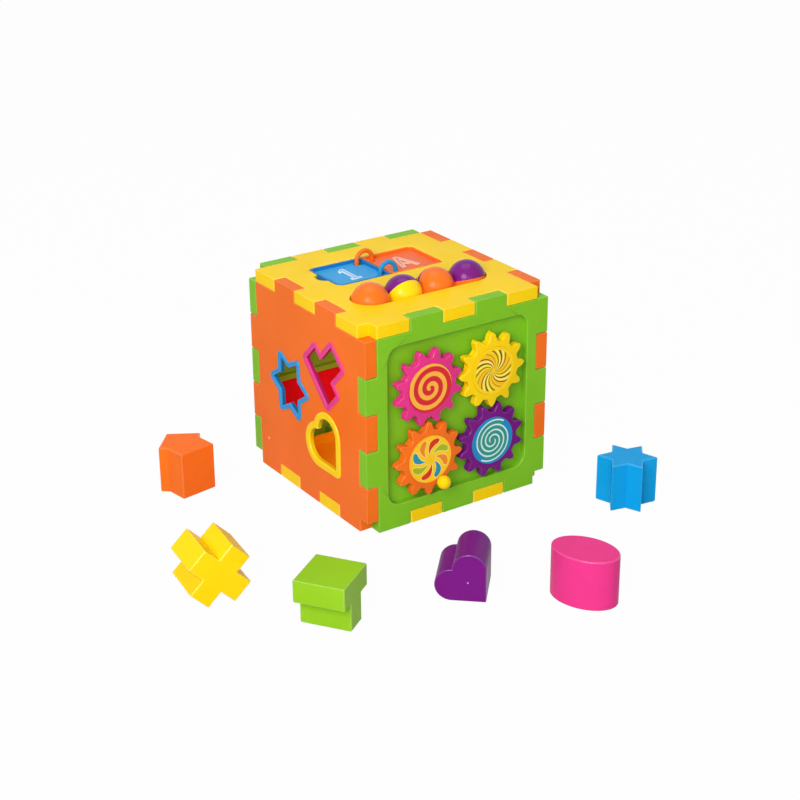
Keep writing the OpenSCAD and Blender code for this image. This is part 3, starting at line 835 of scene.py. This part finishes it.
@dataclass
class GearTrain(Assembly):
    """Four gears with printed discs, their screws and the crank knob."""

    spots: Dict[str, Spot] = field(default_factory=dict)
    rim: float = 20.9
    face: float = -77.5
    tooth_edge: float = 0.45
    inner_edge: float = 0.15
    disc_edge: float = 0.1

    def build(self) -> None:
        """Dresses the gears, discs, screws and knob."""
        gears = {
            "pink_gear": Plastic.PINK, "yellow_gear": Plastic.YELLOW,
            "orange_crank_gear": Plastic.ORANGE, "purple_gear": Plastic.PURPLE,
        }
        for node, plastic in gears.items():
            outline = (self.spots[self.bodies[node]], self.rim, self.face, self.tooth_edge)
            self.mould(node, self.finishes.pair(plastic), self.inner_edge, 2, outline)
        discs = {
            "red_spiral_disc": RedSpiralDisc, "swirl_disc": SwirlDisc,
            "petal_disc": PetalDisc, "blue_spiral_disc": BlueSpiralDisc,
        }
        for node, disc in discs.items():
            printed = disc(f"{node}_print", self.spots[self.bodies[node]]).build()
            self.mould(node, [printed], self.disc_edge, 2)
        for node in ("gear_screws", "knob_pin"):
            self.keep(node, self.finishes.of(Plastic.STEEL))
        self.mould("crank_knob", self.finishes.pair(Plastic.YELLOW), self.inner_edge, 2)


@dataclass
class BeadRow(Assembly):
    """Four beads of two snapped halves on one axle."""

    seam: float = 0.22

    def build(self) -> None:
        """Dresses the bead halves and the axle."""
        halves = {
            "bead_1_front": Plastic.ORANGE, "bead_1_rear": Plastic.ORANGE, "bead_2_front": Plastic.YELLOW,
            "bead_2_rear": Plastic.PURPLE, "bead_3_front": Plastic.ORANGE, "bead_3_rear": Plastic.PURPLE,
            "bead_4_top": Plastic.PURPLE, "bead_4_under": Plastic.ORANGE,
        }
        for node, plastic in halves.items():
            self.mould(node, [self.finishes.glossy[plastic]], self.seam, 2)
        self.keep("bead_axle", self.finishes.of(Plastic.STEEL))


@dataclass
class FlipBook(Assembly):
    """Two pages on two rings, with a numeral and a letter."""

    floor: float = 147.5
    page_edge: float = 0.4
    border: float = 0.7
    half_thick: float = 0.11
    brim: float = 0.06
    lift: float = 0.12
    numeral_at: Spot = (-23.0, 25.0)
    letter_at: Spot = (22.6, 25.0)

    def plate(
        self,
        name: str,
        outline: Sequence[Spot],
        hole: Sequence[Spot],
        at: Spot,
        body: str,
        inks: Sequence[StripedInk],
    ) -> None:
        """Adds a thin raised figure on a page.

        Args:
            name: name of the figure.
            outline: its outline in millimetres from its centre.
            hole: outline of the hole in it, or nothing.
            at: its centre on the panel in millimetres.
            body: body that it rides on.
            inks: ink of its border and ink of its middle.
        """
        bpy.ops.object.select_all(action="DESELECT")
        bpy.ops.curve.primitive_bezier_circle_add(radius=MM)
        curve = bpy.context.view_layer.objects.active
        curve.data.splines.clear()
        curve.data.dimensions = "2D"
        curve.data.fill_mode = "BOTH"
        curve.data.extrude = self.half_thick * MM
        curve.data.bevel_depth = self.brim * MM
        for ring in (outline, hole):
            if not ring:
                continue
            spline = curve.data.splines.new("POLY")
            spline.points.add(len(ring) - 1)
            for point, (x, y) in zip(spline.points, ring):
                point.co = (x * MM, y * MM, 0.0, 1.0)
            spline.use_cyclic_u = True
        curve.name = name
        bpy.ops.object.convert(target="MESH")
        figure = bpy.context.view_layer.objects.active
        figure.location = (at[0] * MM, at[1] * MM, (self.floor + self.lift) * MM)
        bpy.ops.object.transform_apply(location=True, rotation=True, scale=True)
        figure.data.materials.clear()
        for ink in inks:
            figure.data.materials.append(ink.build())
        bpy.ops.object.mode_set(mode="EDIT")
        bpy.ops.mesh.select_mode(type="FACE")
        bpy.ops.mesh.select_all(action="SELECT")
        bpy.ops.mesh.remove_doubles(threshold=0.001 * MM)
        bpy.ops.mesh.select_all(action="DESELECT")
        bpy.ops.object.mode_set(mode="OBJECT")
        for face in figure.data.polygons:
            face.select = face.normal.z > 0.99
        bpy.ops.object.mode_set(mode="EDIT")
        bpy.ops.mesh.inset(thickness=self.border * MM, use_even_offset=True)
        figure.active_material_index = 1
        bpy.ops.object.material_slot_assign()
        bpy.ops.object.mode_set(mode="OBJECT")
        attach(figure, body)
        LOG.info("%s: raised on %s", name, body)

    def page(self, node: str, plastic: Plastic, label: Plastic) -> None:
        """Dresses a page: moulded plastic with a printed label on its floor."""
        piece = self.mould(node, self.finishes.pair(plastic), self.page_edge)
        piece.data.materials.append(self.finishes.of(label))
        for face in piece.data.polygons:
            if face.normal.z > 0.95 and abs(face.center.z - self.floor * MM) < 0.2 * MM:
                face.material_index = len(piece.data.materials) - 1

    def build(self) -> None:
        """Dresses the pages and rings and adds the two figures."""
        self.page("blue_page", Plastic.DEEP_BLUE, Plastic.LABEL_BLUE)
        self.page("orange_page", Plastic.ORANGE, Plastic.LABEL_ORANGE)
        self.keep("blue_ring", self.finishes.of(Plastic.FRAME_BLUE))
        self.keep("orange_ring", self.finishes.glossy[Plastic.ORANGE])
        one = [
            (-4.2, -11.2), (4.2, -11.2), (4.2, -8.0), (1.9, -8.0), (1.9, 11.2), (-0.6, 11.2),
            (-4.2, 7.6), (-4.2, 4.6), (-1.6, 6.4), (-1.6, -8.0), (-4.2, -8.0),
        ]
        letter = [
            (-7.8, -10.8), (-4.4, -10.8), (-2.9, -5.6), (2.9, -5.6),
            (4.4, -10.8), (7.8, -10.8), (2.0, 10.8), (-2.0, 10.8),
        ]
        counter = [(-2.0, -2.4), (2.0, -2.4), (0.0, 5.2)]
        white, sky = (236, 248, 255), Plastic.LABEL_BLUE.value
        pale, coral = (255, 206, 190), (252, 164, 134)
        self.plate("numeral_one", one, [], self.numeral_at, "blue_page", [
            StripedInk("numeral_border_ink", white, white, 0.0), StripedInk("numeral_ink", sky, white, 0.7)])
        self.plate("letter_a", letter, counter, self.letter_at, "orange_page", [
            StripedInk("letter_border_ink", pale, pale, 0.0), StripedInk("letter_ink", coral, pale, 0.5)])


@dataclass
class Blocks(Assembly):
    """The six loose sorting blocks."""

    edge: float = 0.95
    heart_edge: float = 0.7
    scar: float = 0.6

    def build(self) -> None:
        """Dresses the blocks and adds their gate scars."""
        blocks = {
            "star_block": Plastic.BLUE, "tee_block": Plastic.BLOCK_GREEN, "heart_block": Plastic.PURPLE,
            "oval_block": Plastic.PINK, "cross_block": Plastic.BLOCK_YELLOW, "arrow_block": Plastic.ORANGE,
        }
        for node, plastic in blocks.items():
            curved = node in ("oval_block", "heart_block")
            width = self.heart_edge if node == "heart_block" else self.edge
            self.mould(node, self.finishes.pair(plastic), width, 4, split=not curved)
        scars: List[Tuple[str, str, Point, Point, Plastic]] = [
            ("oval_gate_scar", "oval_block", (-6.0, -218.1, 34.5), (0, 0, 1), Plastic.PINK),
            ("oval_pin_scar", "oval_block", (-4.9, -219.2, 34.5), (0, 0, 1), Plastic.PINK),
            # The heart's raised gate scar is coloured pale violet, a painted highlight.
            ("heart_gate_scar_painted_highlight", "heart_block", (-69.95, -182.04, 13.4), (-0.668, -0.744, 0), Plastic.VIOLET),
            ("tee_gate_scar", "tee_block", (-140.75, -165.24, 17.2), (0.569, -0.822, 0), Plastic.BLOCK_GREEN),
        ]
        for name, body, at, normal, plastic in scars:
            self.mark(name, body, at, normal, self.finishes.of(plastic), self.scar)


@dataclass
class Studio:
    """Pale floor, soft lamps, white surround and the camera."""

    eye: Point = (-0.64118, -0.95570, 0.56549)
    aim: Point = (66.0662, 0.3564, -34.1165)
    lens: float = 79.246
    sensor: float = 36.0
    ambient: float = 0.28
    floor_span: float = 9.0
    floor_drop: float = 0.0004
    floor_grey: float = 0.5
    floor_glow: float = 0.98
    glow_size: float = 0.06
    lamps: List[Tuple[str, Point, Point, float, float]] = field(default_factory=lambda: [
        ("key_softbox", (-1.2, -0.95, 0.93), (-0.05, -0.1, 0.08), 0.9, 22.0),
        ("fill_softbox", (-0.6, -1.45, 0.56), (-0.05, -0.1, 0.08), 1.0, 5.4),
        ("top_softbox", (0.05, 0.2, 1.58), (-0.05, -0.1, 0.08), 1.2, 7.3),
    ])
    glows: List[Tuple[str, Point, Point, Colour, float]] = field(default_factory=lambda: [
        ("upper_glow", (0.01, -0.045, 0.1), (0.0, 0.073, 0.112), (1.0, 0.55, 1.0), 0.06),
        ("lower_glow", (-0.005, 0.02, 0.075), (-0.005, 0.02, 0.0), (1.0, 0.0, 0.0), 0.014),
    ])

    def camera(self) -> None:
        """Makes the camera at the photograph's viewing angle."""
        bpy.ops.object.camera_add(location=self.eye, rotation=[math.radians(a) for a in self.aim])
        camera = bpy.context.view_layer.objects.active
        camera.data.sensor_width = self.sensor
        camera.data.lens = self.lens
        bpy.context.scene.camera = camera

    def lamp(self, name: str, place: Point, target: Point, size: float, power: float) -> bpy.types.Object:
        """Makes one round soft lamp that points at a target."""
        turn = (Vector(target) - Vector(place)).to_track_quat("-Z", "Y").to_euler()
        bpy.ops.object.light_add(type="AREA", location=place, rotation=turn)
        lamp = bpy.context.view_layer.objects.active
        lamp.name = name
        lamp.data.shape = "DISK"
        lamp.data.size = size
        lamp.data.energy = power
        return lamp

    def light(self) -> None:
        """Makes the studio's lamps, and the light that reaches the cube's inside through its walls."""
        for name, place, target, size, power in self.lamps:
            self.lamp(name, place, target, size, power)
        for name, place, target, colour, power in self.glows:
            glow = self.lamp(name, place, target, self.glow_size, power)
            glow.data.color = colour
            glow.visible_camera = False
            glow.visible_glossy = False

    def surround(self) -> None:
        """Makes a soft light all round that is seen as white."""
        world = bpy.data.worlds.new("studio")
        bpy.context.scene.world = world
        graph = Graph(world)
        white = (1, 1, 1, 1)
        soft = graph.node("ShaderNodeBackground", {}, {"Color": white, "Strength": self.ambient})
        seen = graph.node("ShaderNodeBackground", {}, {"Color": white, "Strength": 1.0})
        blend = graph.node("ShaderNodeMixShader", {}, [graph.seen(), soft, seen])
        graph.node("ShaderNodeOutputWorld", {}, {"Surface": blend})

    def floor(self) -> None:
        """Makes the pale floor, which keeps a soft shadow."""
        bpy.ops.object.select_all(action="DESELECT")
        bpy.ops.mesh.primitive_plane_add(size=self.floor_span, location=(0, 0, -self.floor_drop))
        floor = bpy.context.view_layer.objects.active
        floor.name = "floor"
        bpy.ops.object.transform_apply(location=True, rotation=True, scale=True)
        material, graph = new_finish("pale_floor")
        grey = (self.floor_grey, self.floor_grey, self.floor_grey, 1)
        matte = graph.node("ShaderNodeBsdfDiffuse", {}, {"Color": grey})
        glow = graph.node("ShaderNodeEmission", {}, {"Strength": 1.0})
        blend = graph.node("ShaderNodeMixShader", {}, [graph.seen() * self.floor_glow, matte, glow])
        graph.node("ShaderNodeOutputMaterial", {}, {"Surface": blend})
        paint(floor, material)

    def build(self) -> None:
        """Makes the whole studio."""
        bpy.context.scene.view_settings.view_transform = "Standard"
        self.camera()
        self.light()
        self.surround()
        self.floor()
        LOG.info("studio: camera, lamps, surround and floor")


def main() -> None:
    """Loads the frame, builds the studio and dresses each sub-assembly, logging each rounding's width."""
    logging.basicConfig(level=logging.INFO, format="%(message)s")
    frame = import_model()
    nodes = frame["nodes"]
    behaviour = frame["record"]["behaviour"]
    bodies = {node: body for body, members in behaviour["bodies"].items() for node in members}
    turning = [joint for joint in behaviour["joints"] if "pos_m" in joint]
    spots = {joint["child"]: (joint["pos_m"][0], joint["pos_m"][2]) for joint in turning}
    Studio().build()
    finishes = Finishes()
    Cube(nodes, bodies, finishes).build()
    GearTrain(nodes, bodies, finishes, spots=spots).build()
    for assembly in (BeadRow, FlipBook, Blocks):
        assembly(nodes, bodies, finishes).build()


if __name__ == "__main__":
    main()
